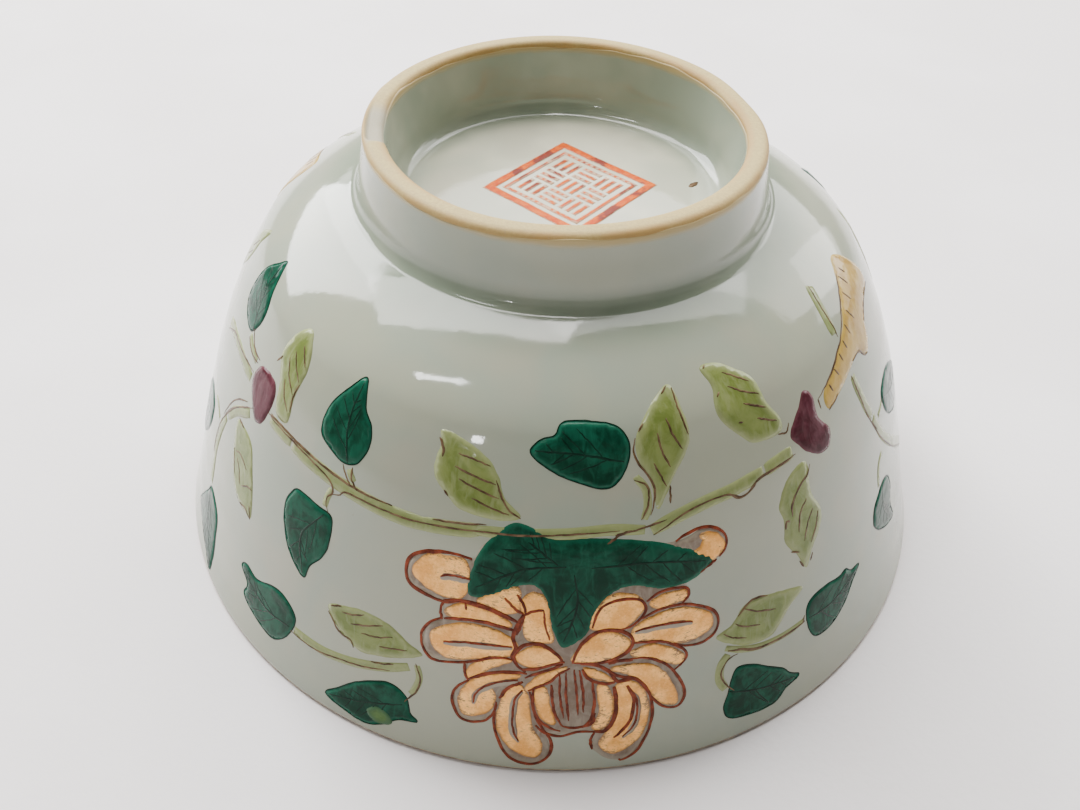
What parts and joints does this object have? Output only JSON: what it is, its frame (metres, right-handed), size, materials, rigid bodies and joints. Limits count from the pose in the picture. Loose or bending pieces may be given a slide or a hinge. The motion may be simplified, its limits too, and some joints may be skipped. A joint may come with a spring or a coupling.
{
  "type": "tea bowl",
  "caption": "Round deep tea bowl with a slightly flared rim and a foot ring, painted with flower sprays, standing upside down on its rim.",
  "frame": {"origin": "centre of the mouth rim, on the surface that the upside-down bowl stands on", "axes": "+Z along the bowl's axis from the mouth rim to the foot ring, -Y towards the front flower"},
  "size_m": [0.108, 0.108, 0.057],
  "materials": {
    "bare_clay": "unglazed, fine and slightly rough",
    "clear_glaze": "glossy, faintly green-grey",
    "brown_edge": "satin brown edge",
    "seal_red": "satin iron red",
    "pale_green_enamel": "glossy translucent enamel",
    "dark_green_enamel": "glossy translucent enamel",
    "purple_enamel": "glossy translucent enamel",
    "yellow_enamel": "glossy translucent enamel",
    "gold_leaf_paint": "worn satin gold",
    "iron_red_line": "thin satin line",
    "sepia_line": "thin satin line"
  },
  "bodies": {
    "root": {"porcelain_body": "bare_clay", "outer_glaze": "clear_glaze", "inner_glaze": "clear_glaze", "foot_well_glaze": "clear_glaze", "lip_dressing": "brown_edge", "seal_frame": "seal_red", "seal_fret": "seal_red", "front_vine": "pale_green_enamel", "front_vine_lines": "sepia_line", "front_dark_leaves": "dark_green_enamel", "front_pale_leaves": "pale_green_enamel", "front_leaf_veins": "sepia_line", "front_calyx": "dark_green_enamel", "front_gold_petals": "gold_leaf_paint", "front_petal_lines": "iron_red_line", "front_petal_stripes": "iron_red_line", "front_buds": "purple_enamel", "front_branch": "yellow_enamel", "front_branch_ticks": "sepia_line", "back_vine": "pale_green_enamel", "back_vine_lines": "sepia_line", "back_dark_leaves": "dark_green_enamel", "back_pale_leaves": "pale_green_enamel", "back_leaf_veins": "sepia_line", "back_calyx": "dark_green_enamel", "back_gold_petals": "gold_leaf_paint", "back_petal_lines": "iron_red_line", "back_petal_stripes": "iron_red_line", "back_buds": "purple_enamel", "back_branch": "yellow_enamel", "back_branch_ticks": "sepia_line"}
  },
  "joints": []
}
